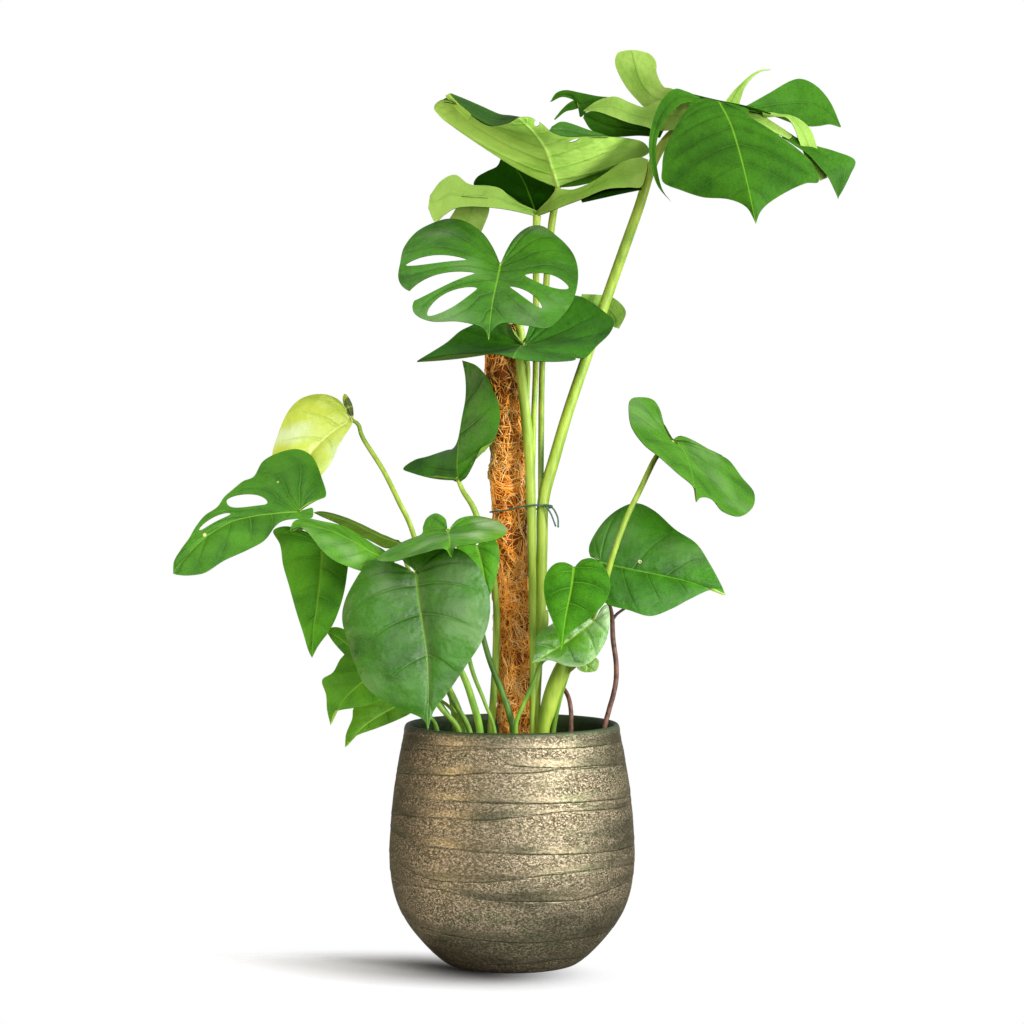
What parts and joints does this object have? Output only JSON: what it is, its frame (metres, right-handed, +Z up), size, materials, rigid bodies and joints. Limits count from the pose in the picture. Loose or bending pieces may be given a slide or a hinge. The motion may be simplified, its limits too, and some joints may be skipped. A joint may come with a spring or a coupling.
{
  "type": "potted swiss cheese plant",
  "caption": "Swiss cheese plant with split and heart-shaped leaves on long stalks, tied to a coir pole in a round stoneware pot.",
  "frame": {"origin": "centre of the pot's foot, on the surface that it stands on", "axes": "+Z up along the plant, the front of the picture faces -Y, +X to the right of the picture"},
  "size_m": [0.7202, 0.375, 1.0065],
  "materials": {
    "pot": "satin",
    "soil": "matte",
    "cane": "matte",
    "coir": "matte",
    "wire": "satin",
    "stalk": "satin",
    "root": "matte",
    "leaf": "gloss",
    "pale_leaf": "gloss"
  },
  "bodies": {
    "root": {"pot": "pot", "soil": "soil", "pole_core": "cane", "pole_coir": "coir", "tie": "wire", "climbing_stem": "stalk", "sheathed_stalk": "stalk", "root_long": "root", "root_short": "root", "stalk_pole_side": "stalk", "stalk_pale": "stalk", "stalk_left_split": "stalk", "stalk_left_hanging": "stalk", "stalk_left_inner": "stalk", "stalk_left_narrow": "stalk", "stalk_big_heart": "stalk", "stalk_over_heart": "stalk", "stalk_behind_heart": "stalk", "stalk_base_upper": "stalk", "stalk_base_low": "stalk", "stalk_base_small": "stalk", "stalk_right_broad": "stalk", "stalk_centre_heart": "stalk", "stalk_centre_glossy": "stalk", "blade_crown_right": "leaf", "blade_crown_left": "leaf", "blade_crown_low": "leaf", "blade_split_front": "leaf", "blade_split_low": "leaf", "blade_pole_side": "leaf", "blade_pale": "pale_leaf", "blade_left_split": "leaf", "blade_left_hanging": "leaf", "blade_left_inner": "leaf", "blade_left_narrow": "leaf", "blade_big_heart": "leaf", "blade_over_heart": "leaf", "blade_behind_heart": "leaf", "blade_base_upper": "leaf", "blade_base_low": "leaf", "blade_base_small": "leaf", "blade_right_upper": "leaf", "blade_right_broad": "leaf", "blade_centre_heart": "leaf", "blade_centre_glossy": "leaf", "blade_centre_small": "leaf"}
  },
  "joints": []
}
